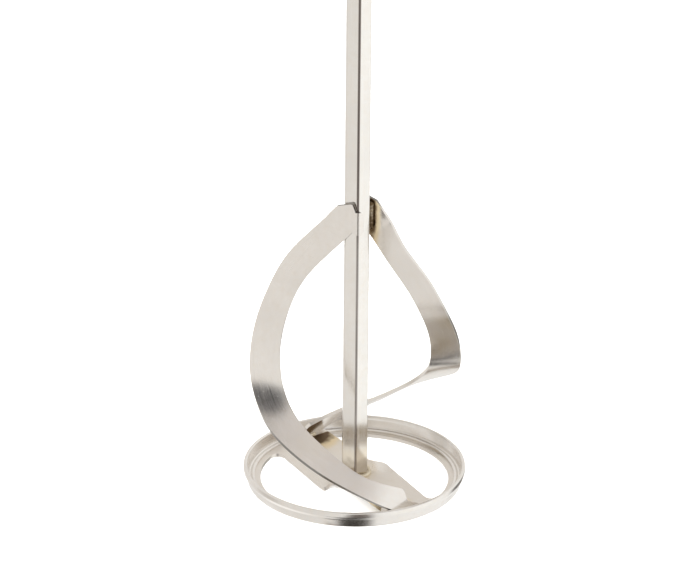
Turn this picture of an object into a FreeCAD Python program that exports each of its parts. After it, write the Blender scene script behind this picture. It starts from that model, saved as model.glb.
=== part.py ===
import FreeCAD, Part
import math
import os

# Mortar mixing paddle: a hexagonal shaft with two twisted blades, a stamped propeller disc and a rim ring.
# Origin on the shaft's axis at the underside of the base, +Z up along the shaft, millimetres.
# The blades, the disc and the welds repeat after half a turn about the shaft.

Vector = FreeCAD.Vector

# Shaft
overall_length = 400.0
across_flats = 10.0
shaft_corner_radius = 0.9
shaft_end_chamfer = 1.0
shaft_bottom = 1.0          # the shaft passes through the disc's hub
shaft_turn = 4.0            # degrees that the hexagon is turned from a corner at the front

# Sheet
sheet = 1.5                 # thickness of the blades and of the disc
ring_sheet = 1.2            # thickness of the ring's wall and flange

# Rim ring and the disc's own rim
ring_radius = 45.0
ring_height = 7.0
ring_foot_radius = 43.2     # outside of the wall at the bottom
flange_radius = 40.3        # inner edge of the ring's flange
disc_outer_radius = 41.9
window_radius = 38.2        # outer edge of the two open windows in the disc

# Propeller web of the disc, in its own directions: u along the web, v across it
web_direction = 118.6       # degrees from +X to +u
web_low_edge = 16.5         # v of the low edge, on the side that drops
web_raised_edge = 9.6       # v of the raised edge, on the side that lifts
web_taper = 0.075           # how fast the raised edge comes in towards the ring
web_rise = 3.2              # how far the raised edge stands above the low one
web_tip_overhang = 4.9      # how far each low tip reaches past the middle
web_step_overhang = 3.1     # the same at the root of the tip
web_corner_radius = 1.4
web_root_radius = 2.0
web_flare_radius = 3.0      # concave corner between the low edge and the rim
web_twist_length = 3.0      # half length over which the pitch changes hand
web_reach = 41.7            # radius at which the web's ends lie on the disc's rim
web_slope = web_rise / (web_low_edge + web_raised_edge)
hub_height = sheet / 2 + web_low_edge * web_slope

# Blade on its facet: s runs along the facet away from the front corner, z up
blade_facet = 240.0 + shaft_turn    # direction that the left blade's facet faces
tab_facet = 300.0 + shaft_turn      # direction that the tab's facet faces
blade_top_outline = [               # (s, z, corner radius)
    (1.2, 113.7, 0.0),
    (2.3, 114.6, 0.4),
    (3.0, 113.6, 0.6),
    (6.85, 109.0, 0.0),
    (15.5, 117.4, 0.0),
    (11.1, 122.9, 4.0),
    (9.4, 124.9, 1.5),
    (2.3, 127.2, 0.8),
    (1.2, 123.9, 0.0),
]
tab_length = 2.2            # past the front corner
tab_bottom = 113.5
tab_top = 123.6
tab_bottom_chamfer = 1.6
tab_top_chamfer = 1.5
blade_start = ((15.5, 117.4), (6.85, 109.0))    # outer and inner end of the first cross line, on the facet
blade_lead = 8.0            # straight run before it that sets its direction

# Blade below its flat top: outer edge and inner edge as (radius, degrees about the shaft, height)
blade_stations = [
    ((19.7, 162.0, 109.0), (12.1, 177.0, 100.5)),
    ((29.7, 162.0, 96.5), (20.1, 169.0, 90.0)),
    ((37.2, 168.0, 80.5), (26.2, 172.0, 78.0)),
    ((41.6, 176.5, 65.0), (30.1, 182.0, 63.5)),
    ((42.9, 186.0, 50.5), (30.6, 189.0, 52.0)),
    ((42.5, 201.5, 41.0), (30.3, 202.5, 43.2)),
    ((42.5, 219.0, 33.5), (29.4, 219.1, 35.2)),
    ((41.0, 237.0, 26.0), (28.1, 236.2, 28.7)),
    ((38.5, 255.0, 18.0), (28.7, 258.7, 21.6)),
    ((38.5, 276.0, 10.5), (32.0, 279.0, 16.0)),
    ((38.5, 293.0, 4.0), (33.5, 300.0, 11.0)),
    ((37.0, 312.0, -1.5), (35.5, 318.0, 7.0)),
]
blade_sections = 45
shoulder_angle = 304.0      # degrees about the shaft where the foot narrows

# Foot's outline past the shoulder: (run along the strip, step across it, corner radius)
foot_outline = [
    (0.0, 0.3, 0.0),
    (1.6, 0.8, 1.0),
    (4.0, 4.6, 2.5),
    (25.0, 5.6, 0.0),
]

# Welds
foot_weld_radius = 7.0
foot_weld_height = 1.5      # above the hub
top_weld_bottom = 112.5
top_weld_top = 124.5
top_weld_leg = 2.6
blade_foot_weld_radius = 1.3
blade_foot_weld_start = (37.1, 297.0, 3.9)      # (radius, degrees about the shaft, height)
blade_foot_weld_end = (35.3, 309.0, 3.2)

# Room past the part for shapes that cut or trim it
clear = 30.0


def around(radius, angle, height=0.0):
    """Point at a radius and an angle in degrees about the shaft."""
    turn = math.radians(angle)
    return Vector(radius * math.cos(turn), radius * math.sin(turn), height)


def on_facet(facing, along, depth, height):
    """Point beside a facet: along it from its mid-sheet front corner, and depth out from the shaft's axis."""
    sign = -1 if facing == blade_facet else 1
    corner = (across_flats + sheet) / 2 * math.tan(math.radians(30))
    normal = around(1, facing)
    side = around(1, facing + 90 * sign)
    point = normal * depth + side * (along - corner)
    return Vector(point.x, point.y, height)


def rounded_wire(corners, place):
    """Closed wire through (a, b, radius) corners, each rounded, set in space by place(a, b)."""
    spans = []
    for index, (a, b, radius) in enumerate(corners):
        here = Vector(a, b, 0)
        back = Vector(*corners[index - 1][:2], 0) - here
        ahead = Vector(*corners[(index + 1) % len(corners)][:2], 0) - here
        back.normalize()
        ahead.normalize()
        half = back.getAngle(ahead) / 2
        start = here + back * (radius / math.tan(half))
        end = here + ahead * (radius / math.tan(half))
        inward = (back + ahead).normalize()
        middle = here + inward * (radius / math.sin(half) - radius)
        spans.append((start, middle, end, radius))
    edges = []
    for index, (start, middle, end, radius) in enumerate(spans):
        if radius > 0:
            edges.append(Part.Arc(*[place(p.x, p.y) for p in (start, middle, end)]).toShape())
        following = spans[(index + 1) % len(spans)][0]
        if (following - end).Length > 1e-6:
            edges.append(Part.makeLine(place(end.x, end.y), place(following.x, following.y)))
    return Part.Wire(Part.__sortEdges__(edges))


def plate(corners, place, thickness):
    """Solid of a rounded outline, thickness being the vector that it is extruded by."""
    return Part.Face(rounded_wire(corners, place)).extrude(thickness)


def revolved(corners):
    """Full turn about the shaft's axis of (radius, height, corner radius) corners."""
    face = Part.Face(rounded_wire(corners, lambda r, z: Vector(r, 0, z)))
    return face.revolve(Vector(0, 0, 0), Vector(0, 0, 1), 360)


def largest_solid(shape):
    """The biggest solid of a cut shape."""
    return max(shape.Solids, key=lambda solid: solid.Volume)


def half_turn(shape):
    """Copy of a shape turned half a turn about the shaft."""
    return shape.copy().rotate(Vector(0, 0, 0), Vector(0, 0, 1), 180)


def hexagon_bar(width, corner_radius, bottom, top):
    """Hexagonal bar with rounded corners, a corner at the front turned by shaft_turn."""
    reach = width / 2 / math.cos(math.radians(30))
    corners = []
    for side in range(6):
        corner = around(reach, 270 + shaft_turn + 60 * side)
        corners.append((corner.x, corner.y, corner_radius))
    return plate(corners, lambda x, y: Vector(x, y, bottom), Vector(0, 0, top - bottom))


def make_shaft():
    """Hexagonal bar with its upper end chamfered, standing in the disc's hub."""
    bar = hexagon_bar(across_flats, shaft_corner_radius, shaft_bottom, overall_length)
    reach = across_flats / 2 / math.cos(math.radians(30))
    turned = revolved([
        (0, 0, 0),
        (reach, 0, 0),
        (reach, overall_length - shaft_end_chamfer, 0),
        (reach - shaft_end_chamfer * 1.5, overall_length, 0),
        (0, overall_length, 0),
    ])
    return bar.common(turned)


def make_ring():
    """Pressed ring: rounded rim, sloping wall, trough and a flange that lies on the disc's rim."""
    inner = ring_radius - ring_sheet
    flange_top = sheet + ring_sheet
    return revolved([
        (disc_outer_radius, 0, 0),
        (ring_foot_radius, 0, 0.8),
        (ring_foot_radius + 0.9, 3.6, 3.0),
        (ring_radius, 5.0, 0.8),
        (ring_radius, ring_height, 0.55),
        (inner - 0.2, ring_height, 0.45),
        (inner - 0.4, 5.4, 1.0),
        (ring_foot_radius - 0.5, 2.1, 0.5),
        (ring_foot_radius - 1.2, 2.1, 0.4),
        (ring_foot_radius - 1.8, flange_top, 0.5),
        (flange_radius, flange_top - 0.1, 0.3),
        (flange_radius, sheet, 0),
        (disc_outer_radius, sheet, 0),
    ])


def web_point(u, v, height=0.0):
    """Point in the web's own directions."""
    return around(u, web_direction, height) + around(v, web_direction - 90)


def web_height(u, v):
    """Mid-sheet height of the web: one half pitched one way, the other the other way."""
    lean = 1.25 * max(abs(v) - web_raised_edge, 0) * math.copysign(1, v)
    hand = math.tanh((u - lean) / web_twist_length)
    return hub_height + web_slope * v * hand


def web_face(offset):
    """Face of the web's surface, moved up by offset and reaching past its outline."""
    across = [-17.5, -16.5, -14.0, -11.5, -9.6, -6.5, -3.2, 0.0, 3.2, 6.5, 9.6, 11.5, 14.0, 16.5, 17.5]
    along = [-44, -36, -28, -22, -17, -13, -10, -7.5, -5, -2.5, 0, 2.5, 5, 7.5, 10, 13, 17, 22, 28, 36, 44]
    grid = []
    for u in along:
        grid.append([web_point(u, v, web_height(u, v) + offset) for v in across])
    surface = Part.BSplineSurface()
    surface.interpolate(grid)
    return surface.toShape()


def web_outline(reach):
    """Corners of the S-shaped web in u and v, reaching out along both ends."""
    half = [
        (reach, web_raised_edge - web_taper * reach, 0),
        (reach, -web_low_edge, 0),
        (-web_tip_overhang, -web_low_edge, web_corner_radius),
        (-web_step_overhang, -web_raised_edge, web_root_radius),
    ]
    return half + [(-u, -v, radius) for u, v, radius in half]


def make_disc():
    """Stamped disc: flat rim, twisted web, and flared corners where the web's low edges join the rim."""
    prism = plate(web_outline(50), lambda u, v: web_point(u, v, -clear), Vector(0, 0, 2 * clear))
    web = web_face(-sheet / 2).extrude(Vector(0, 0, sheet)).common(prism)
    inside_ring = revolved([
        (0, -clear, 0),
        (web_reach, -clear, 0),
        (web_reach, clear, 0),
        (0, clear, 0),
    ])
    rim = revolved([
        (window_radius, 0, 0),
        (disc_outer_radius, 0, 0),
        (disc_outer_radius, sheet, 0),
        (window_radius, sheet, 0),
    ])
    disc = rim.fuse(web.common(inside_ring))
    for turn in (0, 180):
        disc = disc.fuse(make_flare().rotate(Vector(0, 0, 0), Vector(0, 0, 1), turn))
    return disc.removeSplitter()


def make_flare():
    """Flat corner with a concave arc between the web's low edge and the disc's rim."""
    centre_v = -web_low_edge - web_flare_radius
    centre_reach = window_radius - web_flare_radius
    centre_u = math.sqrt(centre_reach ** 2 - centre_v ** 2)
    grow = window_radius / centre_reach
    toward_edge = math.atan2(1, 0)
    toward_rim = math.atan2(centre_v, centre_u)
    middle = (toward_edge + toward_rim) / 2
    arc = Part.Arc(
        web_point(centre_u, -web_low_edge),
        web_point(centre_u + web_flare_radius * math.cos(middle), centre_v + web_flare_radius * math.sin(middle)),
        web_point(centre_u * grow, centre_v * grow),
    ).toShape()
    corner = web_point(window_radius, -web_low_edge + 0.5)
    start = web_point(centre_u, -web_low_edge + 0.5)
    closing = Part.makePolygon([web_point(centre_u * grow, centre_v * grow), corner, start,
                                web_point(centre_u, -web_low_edge)])
    outline = Part.Wire([arc] + closing.Edges)
    return Part.Face(outline).extrude(Vector(0, 0, sheet))


def below_base():
    """Everything under the top of the web and of the disc's rim, for trimming what stands on them."""
    web = web_face(sheet / 2).extrude(Vector(0, 0, -clear))
    rim = revolved([
        (window_radius - 0.2, -clear, 0),
        (ring_radius, -clear, 0),
        (ring_radius, sheet, 0),
        (window_radius - 0.2, sheet, 0),
    ])
    return web.fuse(rim)


def blade_edge_curves():
    """Smooth curves along the outer and inner edge, with the parameter where the flat top ends."""
    (outer_s, outer_z), (inner_s, inner_z) = blade_start
    mid_sheet = (across_flats + sheet) / 2
    run = Vector(inner_z - outer_z, 0, outer_s - inner_s).normalize() * blade_lead
    rows = []
    for share in (1, 0):
        outer = on_facet(blade_facet, outer_s + run.x * share, mid_sheet, outer_z + run.z * share)
        inner = on_facet(blade_facet, inner_s + run.x * share, mid_sheet, inner_z + run.z * share)
        rows.append((outer, inner))
    for outer, inner in blade_stations:
        rows.append((around(*outer), around(*inner)))
    knots = [0.0]
    for (a, b), (c, d) in zip(rows, rows[1:]):
        knots.append(knots[-1] + ((c + d) / 2 - (a + b) / 2).Length)
    curves = []
    for side in (0, 1):
        curve = Part.BSplineCurve()
        curve.interpolate(Points=[row[side] for row in rows], Parameters=knots)
        curves.append(curve)
    return curves[0], curves[1], knots[1], knots[-1]


def blade_section(outer, inner, along):
    """Rectangle across the strip: its two edges and the sheet's thickness."""
    normal = along.cross(inner - outer).normalize() * (sheet / 2)
    return Part.makePolygon([outer + normal, inner + normal, inner - normal, outer - normal, outer + normal])


def make_strip():
    """The twisted strip below the flat top, running on past the foot."""
    outer_curve, inner_curve, first, last = blade_edge_curves()
    sections = []
    for index in range(blade_sections):
        at = first + (last - first) * index / (blade_sections - 1)
        outer = outer_curve.value(at)
        inner = inner_curve.value(at)
        along = outer_curve.tangent(at)[0] + inner_curve.tangent(at)[0]
        if index == 0:
            along = (inner - outer).cross(around(1, blade_facet))
        sections.append(blade_section(outer, inner, along))
    return Part.makeLoft(sections, True, False)


def make_blade_top():
    """Flat top on the facet with a tab folded round the front corner."""
    inside = across_flats / 2
    flat = plate(blade_top_outline, lambda s, z: on_facet(blade_facet, s, inside, z),
                 around(sheet, blade_facet))
    wrap = hexagon_bar(across_flats + 2 * sheet, shaft_corner_radius + sheet, tab_bottom, tab_top)
    wrap = wrap.cut(hexagon_bar(across_flats, shaft_corner_radius, tab_bottom, tab_top))
    outline = [
        (-4, tab_bottom, 0),
        (tab_length - tab_bottom_chamfer, tab_bottom, 0.5),
        (tab_length, tab_bottom + tab_bottom_chamfer, 0.5),
        (tab_length, tab_top - tab_top_chamfer, 0.5),
        (tab_length - tab_top_chamfer, tab_top, 0.5),
        (-4, tab_top, 0),
    ]
    keep = plate(outline, lambda s, z: on_facet(tab_facet, s, 0.5, z), around(12, tab_facet))
    return flat.fuse(wrap.common(keep))


def foot_notch():
    """Cutter for the step where the foot narrows past the shoulder."""
    outer_curve, inner_curve, first, last = blade_edge_curves()
    steps = [first + (last - first) * index / 400 for index in range(401)]

    def angle_off(at):
        point = inner_curve.value(at)
        angle = math.degrees(math.atan2(point.y, point.x)) % 360
        return abs(angle - shoulder_angle)

    at = min(steps[200:], key=angle_off)
    corner = inner_curve.value(at)
    along = inner_curve.tangent(at)[0].normalize()
    across = (outer_curve.value(at) - corner).normalize()
    normal = along.cross(across).normalize()
    half_depth = 8
    first_run, last_run = foot_outline[0][0], foot_outline[-1][0]
    outline = [(first_run, -half_depth, 0), *foot_outline, (last_run, -half_depth, 0)]
    return plate(outline, lambda a, b: corner + along * a + across * b - normal * half_depth,
                 normal * 2 * half_depth)


def make_blade(ground):
    """One blade: flat top, folded tab and twisted strip, trimmed to the web and rim that it stands on."""
    strip = make_strip().cut(foot_notch())
    strip = largest_solid(strip.cut(ground))
    return make_blade_top().fuse(strip).removeSplitter()


def make_shaft_foot_weld(shaft, ground):
    """Fillet bead round the shaft on the hub."""
    hub_top = hub_height + sheet / 2
    top = hub_top + foot_weld_height
    bead = revolved([
        (0, hub_height, 0),
        (foot_weld_radius, hub_height, 0),
        (foot_weld_radius, hub_top + 0.3, 0.3),
        (foot_weld_radius - 1.2, top, 0.5),
        (0, top, 0),
    ])
    return largest_solid(bead.cut(shaft).cut(ground))


def make_top_weld(shaft, blade):
    """Bead in the groove between the back of the blade and the next facet of the shaft."""
    reach = across_flats / 2 / math.cos(math.radians(30))
    corner = around(reach, blade_facet - 30)
    along_blade = around(1, blade_facet - 90)
    along_facet = around(1, blade_facet - 150)
    inside = corner - (along_blade + along_facet) * 0.6
    ends = [corner + along_blade * top_weld_leg, corner + along_facet * top_weld_leg]
    swell = corner + (along_blade + along_facet) * (top_weld_leg * 0.62)
    outline = [
        (inside.x, inside.y, 0),
        (ends[0].x, ends[0].y, 0.2),
        (swell.x, swell.y, 1.2),
        (ends[1].x, ends[1].y, 0.2),
    ]
    bead = plate(outline, lambda x, y: Vector(x, y, top_weld_bottom), Vector(0, 0, top_weld_top - top_weld_bottom))
    return largest_solid(bead.cut(shaft).cut(blade))


def make_blade_foot_weld(blade, ground, ring):
    """Bead along the foot's inner side, in the wedge between the blade and the web."""
    start = around(*blade_foot_weld_start)
    end = around(*blade_foot_weld_end)
    run = end - start
    rod = Part.makeCylinder(blade_foot_weld_radius, run.Length, start, run)
    for point in (start, end):
        rod = rod.fuse(Part.makeSphere(blade_foot_weld_radius, point))
    return largest_solid(rod.cut(blade).cut(ground).cut(ring))


def main():
    os.makedirs("parts", exist_ok=True)
    ground = below_base()
    shaft = make_shaft()
    ring = make_ring()
    blade = make_blade(ground)
    top_weld = make_top_weld(shaft, blade)
    foot_weld = make_blade_foot_weld(blade, ground, ring)
    nodes = {
        "hex_shaft": shaft,
        "rim_ring": ring,
        "propeller_disc": make_disc().cut(shaft).cut(ring),
        "blade_left": blade,
        "blade_right": half_turn(blade),
        "shaft_foot_weld": make_shaft_foot_weld(shaft, ground),
        "blade_left_top_weld": top_weld,
        "blade_right_top_weld": half_turn(top_weld),
        "blade_left_foot_weld": foot_weld,
        "blade_right_foot_weld": half_turn(foot_weld),
    }
    for name, shape in nodes.items():
        box = shape.optimalBoundingBox()
        print(f"{name}: valid {shape.isValid()}, solids {len(shape.Solids)}, volume {shape.Volume:.1f},"
              f" z {box.ZMin:.2f} to {box.ZMax:.2f}")
        shape.exportStep(f"parts/{name}.step")


main()
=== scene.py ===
import math

import bmesh
import bpy
import numpy as np
from mathutils import Matrix, Vector


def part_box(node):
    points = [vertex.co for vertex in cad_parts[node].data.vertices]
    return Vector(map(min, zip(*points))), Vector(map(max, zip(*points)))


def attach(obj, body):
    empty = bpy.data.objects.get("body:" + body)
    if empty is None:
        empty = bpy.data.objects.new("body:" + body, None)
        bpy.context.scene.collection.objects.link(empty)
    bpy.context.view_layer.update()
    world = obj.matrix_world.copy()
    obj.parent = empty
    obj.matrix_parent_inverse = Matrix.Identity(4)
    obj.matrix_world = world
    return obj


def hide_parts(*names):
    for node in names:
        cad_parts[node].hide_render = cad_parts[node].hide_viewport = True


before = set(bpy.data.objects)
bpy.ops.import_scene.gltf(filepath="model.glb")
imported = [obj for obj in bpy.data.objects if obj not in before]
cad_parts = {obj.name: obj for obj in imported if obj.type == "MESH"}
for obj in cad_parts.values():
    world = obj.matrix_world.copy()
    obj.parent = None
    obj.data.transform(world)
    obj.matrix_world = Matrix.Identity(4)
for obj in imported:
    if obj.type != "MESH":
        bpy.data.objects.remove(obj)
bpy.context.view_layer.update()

bl_info = {
    "name": "Mortar mixing paddle",
    "version": (1, 0, 0),
    "blender": (4, 5, 0),
    "location": "3D View > Sidebar > Paddle",
    "description": "Builds a plated steel mixing paddle: hexagonal shaft, two twisted blades, "
                   "stamped disc and rim ring",
    "category": "Add Mesh",
}

# Everything below is in the paddle's own frame: the shaft's axis is Z and the base stands on Z = 0.
MM = 0.001
BODY = "root"

# Places that the CAD model settles
shaft_low, shaft_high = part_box("hex_shaft")
ring_low, ring_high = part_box("rim_ring")
RING_RADIUS = ring_high.x
RING_HEIGHT = ring_high.z
HEX_COSINE = math.cos(math.radians(30))

# Directions about the shaft, degrees from +X
FRONT_CORNER = 274.0                # the hexagon's corner nearest the front
BLADE_FACET = FRONT_CORNER - 30     # the left blade's flat top lies on this facet
BACK_CORNER = FRONT_CORNER - 60     # its weld lies behind this corner

# Propeller web of the disc: u runs along the web, v across it
WEB_DIRECTION = math.radians(118.6)
WEB_LOW_EDGE = 16.5 * MM
WEB_RAISED_EDGE = 9.6 * MM
WEB_TAPER = 0.075
WEB_RISE = 3.2 * MM
WEB_TIP_OVERHANG = 4.9 * MM
WEB_STEP_OVERHANG = 3.1 * MM
WEB_TWIST_LENGTH = 3.0 * MM
WEB_END_RADIUS = 41.7 * MM
WINDOW_RADIUS = 38.2 * MM
DISC_RADIUS = 41.9 * MM
FLANGE_RADIUS = 40.3 * MM           # inner edge of the ring's flange
RING_FOOT_INSET = 1.8 * MM          # the ring's wall is this much narrower at its foot
RIM_CORNER = 0.25 * MM              # rounding of the disc's rim beside the windows
FLARE_RADIUS = 3.0 * MM             # concave corner between the web's low edge and the rim
WEB_TIP_RADIUS = 1.4 * MM
WEB_ROOT_RADIUS = 2.0 * MM
WEB_PITCH = 1.6 * MM                # width of the grid that the web is cut into
WEB_GRID_HALF = (43 * MM, 24 * MM)  # how far out that grid reaches along u and v
WEB_PROUD = 0.02 * MM               # the web stands this much above the flat rim that it is pressed from

# Blade: outer edge and inner edge as (radius mm, degrees about the shaft, height mm), from the top down
BLADE_STATIONS = [
    ((19.7, 162.0, 109.0), (12.1, 177.0, 100.5)),
    ((29.7, 162.0, 96.5), (20.1, 169.0, 90.0)),
    ((37.2, 168.0, 80.5), (26.2, 172.0, 78.0)),
    ((41.6, 176.5, 65.0), (30.1, 182.0, 63.5)),
    ((42.9, 186.0, 50.5), (30.6, 189.0, 52.0)),
    ((42.5, 201.5, 41.0), (30.3, 202.5, 43.2)),
    ((42.5, 219.0, 33.5), (29.4, 219.1, 35.2)),
    ((41.0, 237.0, 26.0), (28.1, 236.2, 28.7)),
    ((38.5, 255.0, 18.0), (28.7, 258.7, 21.6)),
    ((38.5, 276.0, 10.5), (32.0, 279.0, 16.0)),
    ((38.5, 293.0, 4.0), (33.5, 300.0, 11.0)),
    ((37.0, 312.0, -1.5), (35.5, 318.0, 7.0)),
]
# The flat top's outline on the facet, mm: s runs along the facet away from the front corner, z up
TOP_OUTER = (15.5, 117.4)           # where the outer edge leaves the facet
TOP_INNER = (6.85, 109.0)           # where the inner edge leaves it
TOP_BELOW = [(3.0, 113.6, 0.6), (2.3, 114.6, 0.4)]
TOP_ABOVE = [(2.3, 127.2, 0.8), (9.4, 124.9, 1.5), (11.1, 122.9, 4.0)]
TAB_SPAN = (113.5, 123.6)           # lowest and highest point of the tab folded round the corner, mm
TAB_LENGTH = 2.2
TAB_CHAMFER = 1.55
FOOT_SHARE = 0.80                   # share of the strip above the rows that run down to the disc
BLADE_GRID = (90, 44, 8)            # rows above that share, rows below it, and columns across
BEND_STEPS = 4                      # faces round the bend between the flat top and the tab
TAB_ROW = 3.2                       # from the tab's ends to its inner rows of points, mm
GRAIN_TOP = 130                     # height from which the top's grain is counted, mm
SUNK_SHARE = 0.45                   # share of the sheet by which a foot is sunk into the disc
LANDING_STEPS = 600
BLADE_LEAD = 8.0                    # straight run on the facet that sets the strip's direction, mm
FOOT_SHOULDER = 304.0               # degrees about the shaft where the foot narrows
FOOT_STEP = [(0.0, 0.0), (0.5, 0.4), (1.6, 1.1), (3.0, 3.4), (4.2, 4.6), (25.0, 5.6)]   # (run, step) mm

# Edges and turned pieces
SHAFT_EDGE_ROUND = 0.15 * MM
RING_EDGE_ROUND = 0.12 * MM
RIM_EDGE_ROUND = 0.10 * MM
TURN_STEPS = 220                    # faces round the ring and round the disc's rim
SAME_POINT = 0.002 * MM             # points closer than this are merged

# Weld beads: half thickness of each, and the path of the blade foot's as (radius, degrees, height)
HUB_BEAD_PATH_RADIUS = 5.7 * MM
HUB_BEAD = 1.15 * MM
TOP_BEAD = 1.35 * MM
FOOT_BEAD = 1.1 * MM
HUB_BEAD_STEPS = 48
HUB_BEAD_LIFT = 0.2 * MM            # path above the disc
TOP_BEAD_OFFSET = 1.3 * MM          # path off the shaft's corner
TOP_BEAD_INSET = 1.4 * MM           # path's ends in from the ends of the bead's box
FOOT_BEAD_PATH = [(37.1 * MM, 297, 3.7 * MM), (36.3 * MM, 303, 3.4 * MM), (35.4 * MM, 308.5, 3.1 * MM)]

# Heat tints as (centre, reach along X, Y and Z, strength); the tint on the disc by the blades' feet also
# holds painted shade of the blades, and the tint by the blades' tops painted reflection
SHAFT_TINT = ((0, 0, 4 * MM), (20 * MM, 20 * MM, 17 * MM), 0.45)
HUB_TINT = ((0, 0, 4 * MM), (12 * MM, 12 * MM, 5 * MM), 0.30)
# Beside each blade's foot: heat tint on the disc, darkened by painted shade of the blade
FOOT_TINT_AND_SHADE_PLACES = [(34.3 * MM, 116, 4 * MM), (34.3 * MM, 296, 4 * MM)]
FOOT_TINT_AND_SHADE_REACH = (12.5 * MM, 13.5 * MM, 8 * MM)
FOOT_LINE = (117, 35.4 * MM)        # direction, and distance past which the disc stays free of the tint and painted shade
# Beside each top weld: heat tint on the blade with painted reflection
TOP_TINT_AND_REFLECTION_REACH = (4.9 * MM, 4.9 * MM, 22 * MM)


# ---------------------------------------------------------------- sizes and colours

class PaddleSizes(bpy.types.PropertyGroup):
    """Sizes of the paddle's pieces."""
    across_flats: bpy.props.FloatProperty(
        name="Across flats", description="Width of the hexagonal shaft", default=10 * MM,
        subtype="DISTANCE", unit="LENGTH")
    corner_radius: bpy.props.FloatProperty(
        name="Shaft corner radius", description="Rounding of the shaft's long corners", default=0.9 * MM,
        subtype="DISTANCE", unit="LENGTH")
    end_chamfer: bpy.props.FloatProperty(
        name="End chamfer", description="Chamfer at the shaft's upper end", default=1.0 * MM,
        subtype="DISTANCE", unit="LENGTH")
    sheet: bpy.props.FloatProperty(
        name="Sheet", description="Thickness of the blades and of the disc", default=1.5 * MM,
        subtype="DISTANCE", unit="LENGTH")
    ring_sheet: bpy.props.FloatProperty(
        name="Ring sheet", description="Thickness of the ring's wall", default=1.2 * MM,
        subtype="DISTANCE", unit="LENGTH")
    edge_round: bpy.props.FloatProperty(
        name="Edge rounding", description="Rounding that deburring and plating leave on cut edges",
        default=0.3 * MM, subtype="DISTANCE", unit="LENGTH")
    ripple: bpy.props.FloatProperty(
        name="Weld ripple", description="Distance from one weld ripple to the next", default=1.1 * MM,
        subtype="DISTANCE", unit="LENGTH")


class PaddleFinish(bpy.types.PropertyGroup):
    """Colours of the plated steel, the welds and the stage."""
    bar: bpy.props.FloatVectorProperty(
        name="Bar", description="Plating on the shaft", default=(0.86, 0.835, 0.80),
        subtype="COLOR", size=3)
    ring: bpy.props.FloatVectorProperty(
        name="Ring", description="Plating on the ring", default=(0.84, 0.81, 0.775),
        subtype="COLOR", size=3)
    disc: bpy.props.FloatVectorProperty(
        name="Disc", description="Satin plating on the disc", default=(0.82, 0.775, 0.72),
        subtype="COLOR", size=3)
    strip: bpy.props.FloatVectorProperty(
        name="Strip", description="Plating on the blades", default=(0.84, 0.805, 0.765),
        subtype="COLOR", size=3)
    weld: bpy.props.FloatVectorProperty(
        name="Weld", description="Plated weld metal", default=(0.74, 0.66, 0.52),
        subtype="COLOR", size=3)
    straw: bpy.props.FloatVectorProperty(
        name="Straw", description="Outer colour of the heat tint beside a weld", default=(0.80, 0.66, 0.42),
        subtype="COLOR", size=3)
    # The dark core is also painted shade on the disc by the blades' feet and painted reflection on the blades
    # by their tops
    scorch_and_shade: bpy.props.FloatVectorProperty(
        name="Scorch", description="Inner colour of the heat tint beside a weld",
        default=(0.13, 0.085, 0.045), subtype="COLOR", size=3)
    floor: bpy.props.FloatVectorProperty(
        name="Floor", description="Colour of the pale floor", default=(0.93, 0.93, 0.93),
        subtype="COLOR", size=3)


# ---------------------------------------------------------------- points and curves

def around(radius, angle, height=0.0):
    """Point at a radius and an angle in degrees about the shaft."""
    turn = math.radians(angle)
    return Vector((radius * math.cos(turn), radius * math.sin(turn), height))


def on_facet(sizes, along, depth, height):
    """Point beside the blade's facet: along it from its mid-sheet corner, and depth out from the axis."""
    corner = (sizes.across_flats + sizes.sheet) / 2 * math.tan(math.radians(30))
    point = around(depth, BLADE_FACET) + around(1, BLADE_FACET - 90) * (along - corner)
    return Vector((point.x, point.y, height))


def rounded(corners, steps=5):
    """Closed outline through (a, b, radius) corners, each rounded by an arc of that radius."""
    outline = []
    for index, (a, b, radius) in enumerate(corners):
        here = Vector((a, b))
        back = (Vector(corners[index - 1][:2]) - here).normalized()
        ahead = (Vector(corners[(index + 1) % len(corners)][:2]) - here).normalized()
        if radius == 0:
            outline.append(here)
            continue
        half = back.angle(ahead) / 2
        centre = here + (back + ahead).normalized() * (radius / math.sin(half))
        start = here + back * (radius / math.tan(half)) - centre
        turn = start.angle_signed(here + ahead * (radius / math.tan(half)) - centre)
        for step in range(steps + 1):
            spoke = start.copy()
            spoke.rotate(Matrix.Rotation(-turn * step / steps, 2))
            outline.append(centre + spoke)
    return outline


def smooth_curve(knots, points):
    """Cubic curve through points at the given parameters, as a function of the parameter."""
    knots = np.array(knots)
    points = np.array(points)
    count = len(knots)
    slopes = []
    for chosen, at in ((slice(0, 4), 0), (slice(count - 4, count), 3)):
        local = knots[chosen] - knots[chosen][at]
        slopes.append(np.linalg.solve(np.vander(local, 4, increasing=True), points[chosen])[1])
    gap = np.diff(knots)
    matrix = np.eye(count)
    right = np.zeros_like(points)
    right[0], right[-1] = slopes
    for i in range(1, count - 1):
        matrix[i, i - 1:i + 2] = gap[i], 2 * (gap[i - 1] + gap[i]), gap[i - 1]
        before = (points[i] - points[i - 1]) / gap[i - 1]
        after = (points[i + 1] - points[i]) / gap[i]
        right[i] = 3 * (gap[i] * before + gap[i - 1] * after)
    tangents = np.linalg.solve(matrix, right)

    def value(at):
        i = int(np.clip(np.searchsorted(knots, at) - 1, 0, count - 2))
        s = (at - knots[i]) / gap[i]
        return Vector(
            (2 * s**3 - 3 * s**2 + 1) * points[i] + (s**3 - 2 * s**2 + s) * gap[i] * tangents[i]
            + (3 * s**2 - 2 * s**3) * points[i + 1] + (s**3 - s**2) * gap[i] * tangents[i + 1])

    return value


def web_point(u, v, height=0.0):
    """Point given in the web's own directions."""
    along = Vector((math.cos(WEB_DIRECTION), math.sin(WEB_DIRECTION), 0))
    across = Vector((math.sin(WEB_DIRECTION), -math.cos(WEB_DIRECTION), 0))
    return along * u + across * v + Vector((0, 0, height))


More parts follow.
